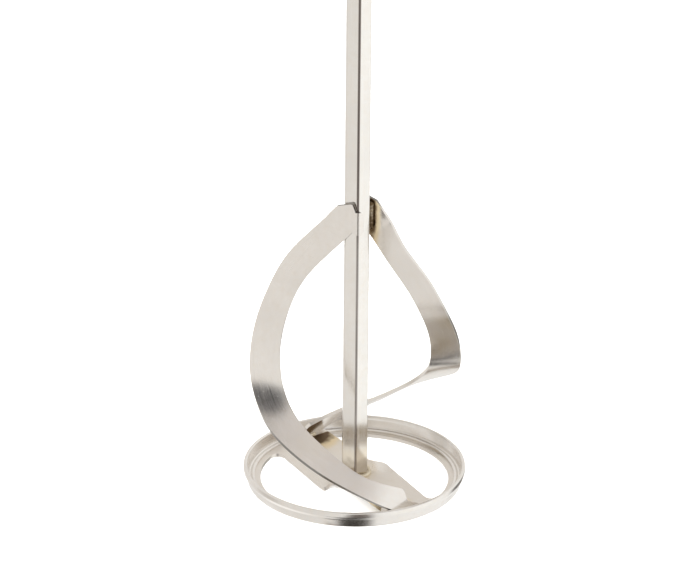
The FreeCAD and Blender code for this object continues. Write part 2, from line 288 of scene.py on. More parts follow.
def web_height(sizes, u, v):
    """Mid-sheet height of the web: one half is pitched one way and the other the other way."""
    v = max(-WEB_LOW_EDGE, min(WEB_LOW_EDGE, v))
    slope = WEB_RISE / (WEB_LOW_EDGE + WEB_RAISED_EDGE)
    lean = 1.25 * max(abs(v) - WEB_RAISED_EDGE, 0) * math.copysign(1, v)
    return sizes.sheet / 2 + slope * (WEB_LOW_EDGE + v * math.tanh((u - lean) / WEB_TWIST_LENGTH))


def base_top(sizes, point):
    """Height of the disc's upper face under a point: of its flat rim or of its web."""
    if math.hypot(point.x, point.y) > WINDOW_RADIUS:
        return sizes.sheet
    u = point.x * math.cos(WEB_DIRECTION) + point.y * math.sin(WEB_DIRECTION)
    v = point.x * math.sin(WEB_DIRECTION) - point.y * math.cos(WEB_DIRECTION)
    return web_height(sizes, u, v) + sizes.sheet / 2


# ---------------------------------------------------------------- node trees and pieces

def add(tree, kind, inputs=None, **settings):
    """Adds a node, sets its properties, and sets or links the inputs that are given by name or number."""
    node = tree.nodes.new(kind)
    for key, value in settings.items():
        setattr(node, key, value)
    for key, value in (inputs or {}).items():
        if isinstance(value, bpy.types.NodeSocket):
            tree.links.new(value, node.inputs[key])
        else:
            node.inputs[key].default_value = value
    return node


def maths(tree, operation, *values):
    """Output of a Math node."""
    return add(tree, "ShaderNodeMath", dict(enumerate(values)), operation=operation).outputs[0]


def vectors(tree, operation, *values):
    """Output of a Vector Math node: a number for a length, distance or dot product, otherwise a vector."""
    node = add(tree, "ShaderNodeVectorMath", dict(enumerate(values)), operation=operation)
    return node.outputs[1 if operation in ("LENGTH", "DISTANCE", "DOT_PRODUCT") else 0]


def new_tree(name, sizes):
    """A Geometry Nodes group with a geometry input and output and named inputs for its sizes."""
    tree = bpy.data.node_groups.new(name, "GeometryNodeTree")
    tree.interface.new_socket("Geometry", in_out="INPUT", socket_type="NodeSocketGeometry")
    for label, kind in sizes.items():
        tree.interface.new_socket(label, in_out="INPUT", socket_type=kind)
    tree.interface.new_socket("Material", in_out="INPUT", socket_type="NodeSocketMaterial")
    tree.interface.new_socket("Geometry", in_out="OUTPUT", socket_type="NodeSocketGeometry")
    return tree, tree.nodes.new("NodeGroupInput").outputs


def close_tree(tree, given, shape):
    """Ends a tree in Realize Instances and Set Material."""
    real = add(tree, "GeometryNodeRealizeInstances", {"Geometry": shape}).outputs[0]
    dressed = add(tree, "GeometryNodeSetMaterial", {"Geometry": real, "Material": given["Material"]})
    tree.links.new(dressed.outputs[0], tree.nodes.new("NodeGroupOutput").inputs[0])


def guide_curve(name, splines, cyclic=False, radii=None):
    """Curve object with straight runs through each list of points."""
    data = bpy.data.curves.new(name, "CURVE")
    data.dimensions = "3D"
    for points in splines:
        spline = data.splines.new("POLY")
        spline.points.add(len(points) - 1)
        for index, point in enumerate(points):
            spline.points[index].co = (*point, 1)
            spline.points[index].radius = radii[index] if radii else 1
        spline.use_cyclic_u = cyclic
    guide = bpy.data.objects.new(name, data)
    bpy.context.scene.collection.objects.link(guide)
    return guide


def run_tree(guide, tree, values):
    """Runs a tree on a guide with the given input values and returns the result as a plain mesh."""
    modifier = guide.modifiers.new(tree.name, "NODES")
    modifier.node_group = tree
    sockets = {s.name: s.identifier for s in tree.interface.items_tree if s.in_out == "INPUT"}
    for label, value in values.items():
        modifier[sockets[label]] = value
    graph = bpy.context.evaluated_depsgraph_get()
    holder = bpy.data.objects.new("holder", bpy.data.meshes.new("holder"))
    bpy.context.scene.collection.objects.link(holder)
    passed_on = holder.modifiers.new("Passed on", "NODES")
    passed_on.node_group = pass_on_tree(guide)
    graph.update()
    mesh = bpy.data.meshes.new_from_object(holder.evaluated_get(graph), depsgraph=graph)
    guide.modifiers.remove(modifier)
    bpy.data.objects.remove(holder)
    bpy.data.objects.remove(guide)
    return mesh


def pass_on_tree(guide):
    """A tree that gives the mesh which another object's nodes make, so that a curve can give a mesh."""
    tree = bpy.data.node_groups.new("Passed on", "GeometryNodeTree")
    tree.interface.new_socket("Geometry", in_out="OUTPUT", socket_type="NodeSocketGeometry")
    info = add(tree, "GeometryNodeObjectInfo", {"Object": guide})
    tree.links.new(info.outputs["Geometry"], tree.nodes.new("NodeGroupOutput").inputs[0])
    return tree


def tidy_mesh(mesh):
    """Merges doubles and turns the faces outwards."""
    work = bmesh.new()
    work.from_mesh(mesh)
    bmesh.ops.remove_doubles(work, verts=work.verts, dist=SAME_POINT)
    bmesh.ops.recalc_face_normals(work, faces=work.faces)
    work.to_mesh(mesh)
    work.free()
    return mesh


def add_piece(name, mesh, material):
    """Object of a mesh at the origin, shaded smooth."""
    mesh.name = name
    mesh.materials.clear()
    mesh.materials.append(material)
    mesh.shade_smooth()
    piece = bpy.data.objects.new(name, mesh)
    bpy.context.scene.collection.objects.link(piece)
    return piece


def finish_edges(piece, sizes, thickness=0.0, sharp=40, width=None):
    """Gives a sheet its thickness, rounds its cut edges and keeps its flats flat, as a plain mesh.
    A sheet's points keep their mid-sheet place in the attribute mid_sheet. sharp is in degrees."""
    if thickness:
        places = np.zeros(len(piece.data.vertices) * 3)
        piece.data.vertices.foreach_get("co", places)
        piece.data.attributes.new("mid_sheet", "FLOAT_VECTOR", "POINT").data.foreach_set("vector", places)
        wall = piece.modifiers.new("Sheet", "SOLIDIFY")
        wall.thickness = thickness
        wall.offset = 0
        wall.use_even_offset = True
    bevel = piece.modifiers.new("Rounded edges", "BEVEL")
    bevel.width = width or sizes.edge_round
    bevel.segments = 3
    bevel.limit_method = "ANGLE"
    bevel.angle_limit = math.radians(sharp)
    bevel.use_clamp_overlap = True
    bevel.harden_normals = True
    graph = bpy.context.evaluated_depsgraph_get()
    mesh = bpy.data.meshes.new_from_object(piece.evaluated_get(graph), depsgraph=graph,
                                           preserve_all_data_layers=True)
    piece.modifiers.clear()
    old = piece.data
    piece.data = mesh
    bpy.data.meshes.remove(old)
    mesh.name = piece.name
    return piece


def half_turned(piece, name):
    """Copy of a piece turned half a turn about the shaft, with its place in its mesh."""
    mesh = piece.data.copy()
    mesh.transform(Matrix.Rotation(math.pi, 4, "Z"))
    if "mid_sheet" in mesh.attributes:
        places = np.zeros((len(mesh.vertices), 3))
        mesh.attributes["mid_sheet"].data.foreach_get("vector", places.ravel())
        mesh.attributes["mid_sheet"].data.foreach_set("vector", (places * (-1, -1, 1)).ravel())
    mesh.name = name
    other = bpy.data.objects.new(name, mesh)
    bpy.context.scene.collection.objects.link(other)
    return other


def fit_in_frame(piece, node):
    """Hides the CAD node that a piece stands for and attaches the piece to its body."""
    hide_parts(node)
    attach(piece, BODY)


# ---------------------------------------------------------------- materials

def mix_colours(tree, factor, first, second, blend="MIX"):
    """Colour output of a Mix node."""
    node = tree.nodes.new("ShaderNodeMix")
    node.data_type = "RGBA"
    node.blend_type = blend
    for socket, value in ((node.inputs[0], factor), (node.inputs[6], first), (node.inputs[7], second)):
        if isinstance(value, bpy.types.NodeSocket):
            tree.links.new(value, socket)
        elif isinstance(value, float):
            socket.default_value = value
        else:
            socket.default_value = (*value[:3], 1)
    return node.outputs[2]


def ramp(tree, value, low, high, bottom=0.0, top=1.0, curve="SMOOTHSTEP"):
    """Value mapped from one range to another."""
    return add(tree, "ShaderNodeMapRange",
               {"Value": value, "From Min": low, "From Max": high, "To Min": bottom, "To Max": top},
               interpolation_type=curve).outputs[0]


def noise(tree, place, scale, detail=4.0, roughness=0.55, stretch=(1, 1, 1)):
    """Noise value, stretched by a Mapping node."""
    mapped = add(tree, "ShaderNodeMapping", {"Vector": place, "Scale": stretch}).outputs[0]
    return add(tree, "ShaderNodeTexNoise",
               {"Vector": mapped, "Scale": scale, "Detail": detail, "Roughness": roughness}).outputs[0]


def heat(tree, place, colour, finish, centre, reach, strength=1.0, side=None):
    """Straw to brown heat tint round a weld, which beside the blades' feet and tops also paints shade and
    reflection: centre and reach are in metres along X, Y and Z.
    side is a direction and the distance along it, either way, past which the surface stays clean."""
    shifted = vectors(tree, "SUBTRACT", place, centre)
    far = vectors(tree, "LENGTH", vectors(tree, "MULTIPLY", shifted, [1 / r for r in reach]))
    uneven = noise(tree, place, 260.0, 3.0)
    far = maths(tree, "ADD", far, maths(tree, "MULTIPLY", maths(tree, "SUBTRACT", uneven, 0.5), 0.35))
    # Straw ring and dark core; by the blades' feet and tops the dark core is painted shade and reflection
    straw = ramp(tree, far, 1.0, 0.55, 0.0, 0.8 * strength)
    scorch_and_shade = ramp(tree, far, 0.60, 0.32, 0.0, min(strength, 1.0))
    if side:
        off = vectors(tree, "DOT_PRODUCT", place, side[0])
        inside = ramp(tree, maths(tree, "ABSOLUTE", off), side[1], side[1] + 0.5 * MM, 1.0, 0.0)
        straw = maths(tree, "MULTIPLY", straw, inside)
        scorch_and_shade = maths(tree, "MULTIPLY", scorch_and_shade, inside)
    colour = mix_colours(tree, straw, colour, finish.straw)
    return mix_colours(tree, scorch_and_shade, colour, finish.scorch_and_shade)


def painted_corner_reflection(tree, place, height, paint, colour, corner):
    """Painted reflection: a thin dark line along a corner of the shaft, where its rounded corner mirrors a
    dark part of the studio, darker higher up. The corner is given as a direction and the distance to its
    edge.
    """
    out = maths(tree, "ABSOLUTE", vectors(tree, "DOT_PRODUCT", place, corner[0]))
    reflected_dark = ramp(tree, out, corner[1] - 0.07 * MM, corner[1] - 0.03 * MM)
    reflected_dark = maths(tree, "MULTIPLY", reflected_dark, ramp(tree, height, 105 * MM, 122 * MM, 0.62, 0.92))
    return mix_colours(tree, reflected_dark, paint, [colour[0] * 0.20, colour[1] * 0.17, colour[2] * 0.16])


def shaded_cut_edges(tree, place, height, surface, paint, colour, sheet):
    """Cut edges of a strip darkened beside the shaft and on the outer side of the foot: partly rough sheared
    metal, partly painted shade.
    """
    middle = add(tree, "ShaderNodeAttribute", attribute_name="mid_sheet").outputs["Vector"]
    off = vectors(tree, "DISTANCE", place, middle)
    across = add(tree, "ShaderNodeSeparateXYZ", {0: surface}).outputs[0]
    radius = vectors(tree, "LENGTH", vectors(tree, "MULTIPLY", place, (1, 1, 0)))
    outer_foot = maths(tree, "MULTIPLY", ramp(tree, across, 0.3 * MM, 1.0 * MM, 1.0, 0.0),
                       ramp(tree, height, 30 * MM, 42 * MM, 1.0, 0.0))
    shaded = maths(tree, "MAXIMUM", outer_foot, ramp(tree, radius, 8 * MM, 11 * MM, 1.0, 0.0))
    # Painted shade over the sheared metal: the edge is darkened towards a quarter of the plating's colour
    cut = maths(tree, "MULTIPLY", ramp(tree, off, sheet * 0.42, sheet * 0.49, 0.9, 0.0), shaded)
    return mix_colours(tree, cut, paint, [c * 0.25 for c in colour])


def plated(name, colour, finish, roughness, grain, depth, attribute=None, tints_and_shade=(),
           dark_corner_reflection=None, sheet=0.0):
    """Plated steel: mottled colour, drawn or rolled grain, fine pits, heat tint beside the welds with painted
    shade and reflection in it by the blades, and where asked a painted reflection along a shaft corner and
    painted shade on a strip's cut edges.
    grain stretches the lines along X, Y and Z, or along the attribute's directions where one is given."""
    material = bpy.data.materials.new(name)
    material.use_nodes = True
    tree = material.node_tree
    shader = tree.nodes["Principled BSDF"]
    shader.inputs["Metallic"].default_value = 1.0
    place = add(tree, "ShaderNodeTexCoord").outputs["Object"]
    surface = place
    if attribute:
        surface = add(tree, "ShaderNodeAttribute", attribute_name=attribute).outputs["Vector"]
    cloud = noise(tree, place, 45.0, 5.0, 0.6)
    fine_cloud = noise(tree, place, 420.0, 3.0, 0.6)
    lines = noise(tree, surface, 2600.0, 3.0, 0.6, grain)
    broad_lines = noise(tree, surface, 700.0, 3.0, 0.6, grain)
    pits = ramp(tree, noise(tree, place, 1900.0, 2.0, 0.5), 0.70, 0.80)

    paint = mix_colours(tree, ramp(tree, cloud, 0.3, 0.7), [c * 0.93 for c in colour], colour)
    paint = mix_colours(tree, ramp(tree, fine_cloud, 0.35, 0.75, 0.0, 0.35), paint,
                        (colour[0] * 0.94, colour[1] * 0.90, colour[2] * 0.84))
    paint = mix_colours(tree, ramp(tree, broad_lines, 0.3, 0.7, 0.0, 0.10), paint, [c * 0.84 for c in colour])
    paint = mix_colours(tree, maths(tree, "MULTIPLY", pits, 0.35), paint, [c * 0.55 for c in colour])
    for tint in tints_and_shade:
        paint = heat(tree, place, paint, finish, *tint)
    height = add(tree, "ShaderNodeSeparateXYZ", {0: place}).outputs[2]
    # Painted reflection: a dark line down the shaft's front and back corners
    if dark_corner_reflection:
        paint = painted_corner_reflection(tree, place, height, paint, colour, dark_corner_reflection)
    # Painted shade on a strip's cut edges, over their rough sheared metal
    if sheet:
        paint = shaded_cut_edges(tree, place, height, surface, paint, colour, sheet)
    tree.links.new(paint, shader.inputs["Base Color"])

    shine = ramp(tree, cloud, 0.25, 0.75, roughness * 0.8, roughness * 1.25)
    shine = maths(tree, "ADD", shine, ramp(tree, lines, 0.3, 0.7, -0.04, 0.05))
    shine = maths(tree, "ADD", shine, maths(tree, "MULTIPLY", pits, 0.15))
    tree.links.new(shine, shader.inputs["Roughness"])

    relief = maths(tree, "ADD", maths(tree, "MULTIPLY", lines, 0.6),
                   maths(tree, "MULTIPLY", broad_lines, 0.5))
    relief = maths(tree, "SUBTRACT", relief, maths(tree, "MULTIPLY", pits, 0.5))
    bump = add(tree, "ShaderNodeBump", {"Height": relief, "Strength": depth, "Distance": 0.03 * MM})
    tree.links.new(bump.outputs[0], shader.inputs["Normal"])
    return material


def weld_metal(name, finish, low, high):
    """Plated weld bead with a coarse cast skin: weld metal where a cloud passes high, scorched below low."""
    material = bpy.data.materials.new(name)
    material.use_nodes = True
    tree = material.node_tree
    shader = tree.nodes["Principled BSDF"]
    shader.inputs["Metallic"].default_value = 1.0
    place = add(tree, "ShaderNodeTexCoord").outputs["Object"]
    patches = noise(tree, place, 330.0, 4.0)
    skin = noise(tree, place, 1500.0, 4.0)
    paint = mix_colours(tree, ramp(tree, patches, low, high), finish.scorch_and_shade, finish.weld)
    paint = mix_colours(tree, ramp(tree, skin, 0.5, 0.8, 0.0, 0.5), paint, finish.straw)
    tree.links.new(paint, shader.inputs["Base Color"])
    tree.links.new(ramp(tree, patches, 0.3, 0.7, 0.55, 0.34), shader.inputs["Roughness"])
    bump = add(tree, "ShaderNodeBump", {"Height": skin, "Strength": 0.6, "Distance": 0.08 * MM})
    tree.links.new(bump.outputs[0], shader.inputs["Normal"])
    return material


# ---------------------------------------------------------------- shaft

def hexagon_tree():
    """Sweeps a hexagon with rounded corners along the guide, whose point radius scales it."""
    tree, given = new_tree("Hexagonal bar", {
        "Across flats": "NodeSocketFloat", "Corner radius": "NodeSocketFloat", "Turn": "NodeSocketVector"})
    reach = maths(tree, "DIVIDE", given["Across flats"], 2 * HEX_COSINE)
    hexagon = add(tree, "GeometryNodeCurvePrimitiveCircle", {"Resolution": 6, "Radius": reach}).outputs[0]
    fillet = add(tree, "GeometryNodeFilletCurve",
                 {"Curve": hexagon, "Radius": given["Corner radius"], "Count": 5}, mode="POLY")
    turned = add(tree, "GeometryNodeTransform", {"Geometry": fillet.outputs[0], "Rotation": given["Turn"]})
    thickness = add(tree, "GeometryNodeInputRadius").outputs[0]
    bar = add(tree, "GeometryNodeCurveToMesh", {
        "Curve": given["Geometry"], "Profile Curve": turned.outputs[0], "Scale": thickness,
        "Fill Caps": True})
    close_tree(tree, given, bar.outputs[0])
    return tree


def make_shaft(sizes, material):
    """The hexagonal bar from the hub to its chamfered upper end. Its section repeats every 60 degrees."""
    narrow = 1 - sizes.end_chamfer * 1.5 * HEX_COSINE * 2 / sizes.across_flats
    heights = [shaft_low.z, shaft_high.z - sizes.end_chamfer, shaft_high.z]
    guide = guide_curve("shaft axis", [[(0, 0, z) for z in heights]], radii=[1, 1, narrow])
    mesh = run_tree(guide, hexagon_tree(), {
        "Across flats": sizes.across_flats, "Corner radius": sizes.corner_radius,
        "Turn": (0, 0, math.radians(FRONT_CORNER % 60)), "Material": material})
    return tidy_mesh(mesh)


# ---------------------------------------------------------------- turned pieces

def unit_grid(tree, columns, rows):
    """A grid of faces, with its points' position and their share of the way over it in both directions."""
    grid = add(tree, "GeometryNodeMeshGrid", {
        "Size X": 1.0, "Size Y": 1.0,
        "Vertices X": maths(tree, "ADD", columns, 1.0), "Vertices Y": maths(tree, "ADD", rows, 1.0)})
    place = add(tree, "GeometryNodeInputPosition").outputs[0]
    parts = add(tree, "ShaderNodeSeparateXYZ", {0: place}).outputs
    return grid.outputs[0], place, maths(tree, "ADD", parts[0], 0.5), maths(tree, "ADD", parts[1], 0.5)


def guide_point(tree, given, place, index):
    """Position of the guide's point with an index."""
    return add(tree, "GeometryNodeSampleIndex",
               {"Geometry": given["Geometry"], "Value": place, "Index": index},
               data_type="FLOAT_VECTOR", domain="POINT").outputs[0]


def turning_tree():
    """Turns a closed profile, given as radius and height in the guide's X and Z, about the Z axis."""
    tree, given = new_tree("Turned profile", {"Points": "NodeSocketInt", "Steps": "NodeSocketInt"})
    grid, place, along, share = unit_grid(tree, given["Points"], given["Steps"])
    turn = maths(tree, "MULTIPLY", share, math.tau)
    point = maths(tree, "ROUND", maths(tree, "MULTIPLY", along, given["Points"]))
    point = maths(tree, "MODULO", point, given["Points"])
    profile = add(tree, "ShaderNodeSeparateXYZ", {0: guide_point(tree, given, place, point)})
    turned = add(tree, "ShaderNodeCombineXYZ", {
        0: maths(tree, "MULTIPLY", profile.outputs[0], maths(tree, "COSINE", turn)),
        1: maths(tree, "MULTIPLY", profile.outputs[0], maths(tree, "SINE", turn)),
        2: profile.outputs[2]}).outputs[0]
    moved = add(tree, "GeometryNodeSetPosition", {"Geometry": grid, "Position": turned}).outputs[0]
    merged = add(tree, "GeometryNodeMergeByDistance", {"Geometry": moved, "Distance": SAME_POINT}).outputs[0]
    close_tree(tree, given, merged)
    return tree


def turned_mesh(corners, material):
    """Closed mesh of (radius, height, corner radius) corners turned about the shaft's axis."""
    profile = rounded(corners)
    guide = guide_curve("profile", [[(p.x, 0, p.y) for p in profile]], cyclic=True)
    mesh = run_tree(guide, turning_tree(), {
        "Points": len(profile), "Steps": TURN_STEPS, "Material": material})
    return tidy_mesh(mesh)


def ring_profile(sizes):
    """The ring's section: rounded rim, sloping wall, trough, and a flange on the disc's rim."""
    foot = RING_RADIUS - RING_FOOT_INSET
    inner = RING_RADIUS - sizes.ring_sheet
    flange_top = sizes.sheet + sizes.ring_sheet
    return [
        (DISC_RADIUS, 0, 0),
        (foot, 0, 0.8 * MM),
        (foot + 0.9 * MM, 3.6 * MM, 3.0 * MM),
        (RING_RADIUS, 5.0 * MM, 0.8 * MM),
        (RING_RADIUS, RING_HEIGHT, 0.55 * MM),
        (inner - 0.2 * MM, RING_HEIGHT, 0.45 * MM),
        (inner - 0.4 * MM, 5.4 * MM, 1.0 * MM),
        (foot - 0.5 * MM, 2.1 * MM, 0.5 * MM),
        (foot - 1.2 * MM, 2.1 * MM, 0.4 * MM),
        (foot - 1.8 * MM, flange_top, 0.5 * MM),
        (FLANGE_RADIUS, flange_top - 0.1 * MM, 0.3 * MM),
        (FLANGE_RADIUS, sizes.sheet, 0),
        (DISC_RADIUS, sizes.sheet, 0),
    ]


# ---------------------------------------------------------------- disc

def web_outline():
    """Outline of the S-shaped web in u and v, with its flared corners, its ends inside the disc's rim."""
    raised_angle = math.asin((WEB_RAISED_EDGE - WEB_TAPER * WEB_END_RADIUS) / WEB_END_RADIUS)
    centre_v = -WEB_LOW_EDGE - FLARE_RADIUS
    centre_u = math.sqrt((WINDOW_RADIUS - FLARE_RADIUS) ** 2 - centre_v ** 2)
    flare_angle = math.atan2(centre_v, centre_u)
    half = [Vector((WEB_STEP_OVERHANG, WEB_RAISED_EDGE))]
    for step in range(17):
        angle = raised_angle + (flare_angle - raised_angle) * step / 16
        half.append(Vector((math.cos(angle), math.sin(angle))) * WEB_END_RADIUS)
    for step in range(9):
        angle = flare_angle + (math.pi / 2 - flare_angle) * step / 8
        half.append(Vector((centre_u, centre_v)) + Vector((math.cos(angle), math.sin(angle))) * FLARE_RADIUS)
    corners = [(p.x, p.y, 0) for p in half]
    corners[0] = (*corners[0][:2], WEB_ROOT_RADIUS)
    corners.append((-WEB_TIP_OVERHANG, -WEB_LOW_EDGE, WEB_TIP_RADIUS))
    corners += [(-u, -v, radius) for u, v, radius in corners]
    return rounded(corners, 6)


def make_web(sizes):
    """Mid-sheet surface of the web, cut into a fine grid and lifted to its height."""
    work = bmesh.new()
    outline = [work.verts.new((p.x, p.y, 0)) for p in web_outline()]
    work.faces.new(outline)
    for axis, limit in enumerate(WEB_GRID_HALF):
        normal = Vector((0, 0, 0))
        normal[axis] = 1
        cuts = int(limit / WEB_PITCH)
        for step in range(-cuts, cuts + 1):
            geometry = work.verts[:] + work.edges[:] + work.faces[:]
            bmesh.ops.bisect_plane(work, geom=geometry, plane_co=normal * (step + 0.5) * WEB_PITCH,
                                   plane_no=normal, dist=0.01 * MM)
    for vertex in work.verts:
        u, v = vertex.co.x, vertex.co.y
        vertex.co = web_point(u, v, web_height(sizes, u, v) + WEB_PROUD)
    mesh = bpy.data.meshes.new("web")
    bmesh.ops.recalc_face_normals(work, faces=work.faces)
    work.to_mesh(mesh)
    work.free()
    return mesh


# ---------------------------------------------------------------- blades

def strip_tree():
    """Lays a strip over the guide's rails, one rail a column, and notes the way along and across it."""
    tree, given = new_tree("Strip over rails", {
        "Rows": "NodeSocketInt", "Columns": "NodeSocketInt",
        "Length": "NodeSocketFloat", "Width": "NodeSocketFloat"})
    grid, place, along, across = unit_grid(tree, given["Rows"], given["Columns"])
    row = maths(tree, "ROUND", maths(tree, "MULTIPLY", along, given["Rows"]))
    rail = maths(tree, "ROUND", maths(tree, "MULTIPLY", across, given["Columns"]))
    index = maths(tree, "ADD", row, maths(tree, "MULTIPLY", maths(tree, "ADD", given["Rows"], 1.0), rail))
    lengthwise = add(tree, "ShaderNodeCombineXYZ", {
        0: maths(tree, "MULTIPLY", across, given["Width"]),
        1: maths(tree, "MULTIPLY", along, given["Length"])}).outputs[0]
    noted = add(tree, "GeometryNodeStoreNamedAttribute",
                {"Geometry": grid, "Name": "strip_place", "Value": lengthwise},
                data_type="FLOAT_VECTOR", domain="POINT")
    moved = add(tree, "GeometryNodeSetPosition",
                {"Geometry": noted.outputs[0], "Position": guide_point(tree, given, place, index)})
    close_tree(tree, given, moved.outputs[0])
    return tree


def blade_edges(sizes):
    """Curves of the strip's two edges, with the parameters where the strip starts and ends."""
    run = Vector((TOP_INNER[1] - TOP_OUTER[1], TOP_OUTER[0] - TOP_INNER[0])).normalized() * BLADE_LEAD
    depth = (sizes.across_flats + sizes.sheet) / 2
    rows = []
    for share in (1, 0):
        ends = []
        for s, z in (TOP_OUTER, TOP_INNER):
            ends.append(on_facet(sizes, (s + run.x * share) * MM, depth, (z + run.y * share) * MM))
        rows.append(ends)
    for outer, inner in BLADE_STATIONS:
        rows.append([around(r * MM, angle, z * MM) for r, angle, z in (outer, inner)])
    knots = [0.0]
    for before, after in zip(rows, rows[1:]):
        knots.append(knots[-1] + ((after[0] + after[1]) / 2 - (before[0] + before[1]) / 2).length)
    outer = smooth_curve(knots, [row[0] for row in rows])
    inner = smooth_curve(knots, [row[1] for row in rows])
    return outer, inner, knots[1], knots[-1]


def foot_narrowing(run):
    """How far the inner edge steps in, at a distance past the foot's shoulder."""
    return float(np.interp(run / MM, *zip(*FOOT_STEP))) * MM


def landing(sizes, curve, start, end):
    """Parameter at which a rail has sunk nearly half a sheet into the disc."""
    for at in np.linspace(start, end, LANDING_STEPS):
        point = curve(at)
        if point.z < base_top(sizes, point) - sizes.sheet * SUNK_SHARE:
            return at
    return end


def strip_rails(sizes):
    """Points down each rail, from the outer edge's to the inner edge's."""
    long_rows, foot_rows, columns = BLADE_GRID
    outer, inner, first, last = blade_edges(sizes)
    beyond_half = np.linspace((first + last) / 2, last, 1000)

    def off_shoulder(at):
        edge = inner(at)
        return abs(math.degrees(math.atan2(edge.y, edge.x)) % 360 - FOOT_SHOULDER)

    shoulder = min(beyond_half, key=off_shoulder)
    middle = first + (last - first) * FOOT_SHARE
    rails = []
    for column in range(columns + 1):
        share = column / columns

        def point(at):
            edge = inner(at)
            if at > shoulder:
                edge += (outer(at) - edge).normalized() * foot_narrowing(at - shoulder)
            return outer(at).lerp(edge, share)

        end = landing(sizes, point, middle, last)
        parameters = [first + (middle - first) * step / long_rows for step in range(long_rows)]
        parameters += [middle + (end - middle) * step / foot_rows for step in range(foot_rows + 1)]
        rails.append([point(at) for at in parameters])
    return rails


def add_flat_top(sizes, mesh, columns):
    """Adds the flat top on the facet, with the tab folded round the front corner, to the strip's mesh."""
    work = bmesh.new()
    work.from_mesh(mesh)
    place = work.verts.layers.float_vector["strip_place"]
    depth = (sizes.across_flats + sizes.sheet) / 2
    bend_radius = sizes.corner_radius + sizes.sheet / 2
    bend_start = bend_radius * math.tan(math.radians(30)) / MM
    low, high = TAB_SPAN
    heights = [low, low + TAB_CHAMFER, low + TAB_ROW, high - TAB_ROW, high - TAB_CHAMFER, high]

    def vertex(s, z, point=None):
        made = work.verts.new(point or on_facet(sizes, s * MM, depth, z * MM))
        made[place] = Vector((s * MM, (z - GRAIN_TOP) * MM, 0))
        return made

    corners = [(bend_start, low, 0), *[(s, z, r) for s, z, r in reversed(TOP_BELOW)], (*TOP_INNER, 0)]
    across = [(TOP_INNER[0] + (TOP_OUTER[0] - TOP_INNER[0]) * i / columns,
               TOP_INNER[1] + (TOP_OUTER[1] - TOP_INNER[1]) * i / columns, 0) for i in range(1, columns)]
    corners += across + [(*TOP_OUTER, 0)] + [(s, z, r) for s, z, r in reversed(TOP_ABOVE)]
    corners += [(bend_start, z, 0) for z in reversed(heights[1:])]
    outline = [vertex(p.x, p.y) for p in rounded(corners, 4)]
    work.faces.new(outline)

    # The bend and the tab: columns of points from the flat top's edge round the corner
    centre = on_facet(sizes, bend_start * MM, depth - bend_radius, 0)
    along_tab = around(1, BLADE_FACET + 60 + 90)
    rows = []
    for z in heights:
        row = [vertex(bend_start, z)]
        for step in range(1, BEND_STEPS + 1):
            spoke = around(bend_radius, BLADE_FACET + 60 * step / BEND_STEPS)
            point = Vector((centre.x + spoke.x, centre.y + spoke.y, z * MM))
            row.append(vertex(bend_start - step * 0.4, z, point))
        bend_end = row[-1].co.copy()
        end = TAB_LENGTH
        if z in (low, high):
            end = max(TAB_LENGTH - TAB_CHAMFER, bend_start + 0.15)
        for share in (0.5, 1.0):
            s = bend_start + (end - bend_start) * share
            row.append(vertex(-s, z, bend_end + along_tab * ((s - bend_start) * MM)))
        rows.append(row)
    for lower, upper in zip(rows, rows[1:]):
        for i in range(len(lower) - 1):
            work.faces.new((lower[i], lower[i + 1], upper[i + 1], upper[i]))
    bmesh.ops.remove_doubles(work, verts=work.verts, dist=0.02 * MM)
    bmesh.ops.recalc_face_normals(work, faces=work.faces)
    work.to_mesh(mesh)
    work.free()
    return mesh


def make_blade(sizes, material):
    """Mesh of one blade's mid-sheet surface: twisted strip, flat top and tab."""
    long_rows, foot_rows, columns = BLADE_GRID
    rails = strip_rails(sizes)
    length = sum((b - a).length for a, b in zip(rails[0], rails[0][1:]))
    width = (rails[0][0] - rails[-1][0]).length
    guide = guide_curve("blade rails", rails)
    mesh = run_tree(guide, strip_tree(), {
        "Rows": long_rows + foot_rows, "Columns": columns, "Length": length, "Width": width,
        "Material": material})
    return add_flat_top(sizes, mesh, columns)


# ---------------------------------------------------------------- welds

def bead_tree():
    """Lays overlapping drops of weld metal along the guide, a little uneven in size."""
    tree, given = new_tree("Weld bead", {
        "Ripple": "NodeSocketFloat", "Radius": "NodeSocketFloat", "Seed": "NodeSocketInt"})
    points = add(tree, "GeometryNodeCurveToPoints", {"Curve": given["Geometry"], "Length": given["Ripple"]},
                 mode="LENGTH")
    drop = add(tree, "GeometryNodeMeshUVSphere", {"Segments": 20, "Rings": 12, "Radius": given["Radius"]})
    smallest, largest = 0.92, 1.04
    uneven = add(tree, "FunctionNodeRandomValue", {2: smallest, 3: largest, "Seed": given["Seed"]},
                 data_type="FLOAT")
    drops = add(tree, "GeometryNodeInstanceOnPoints", {
        "Points": points.outputs["Points"], "Instance": drop.outputs[0], "Scale": uneven.outputs[1],
        "Rotation": points.outputs["Rotation"]}).outputs[0]
    smooth = add(tree, "GeometryNodeSetShadeSmooth", {"Geometry": drops}).outputs[0]
    close_tree(tree, given, smooth)
    return tree


def make_bead(sizes, material, path, radius, seed):
    """Mesh of a weld bead along a path."""
    guide = guide_curve("bead path", [path])
    return run_tree(guide, bead_tree(), {
        "Ripple": sizes.ripple, "Radius": radius, "Seed": seed, "Material": material})


# ---------------------------------------------------------------- operators

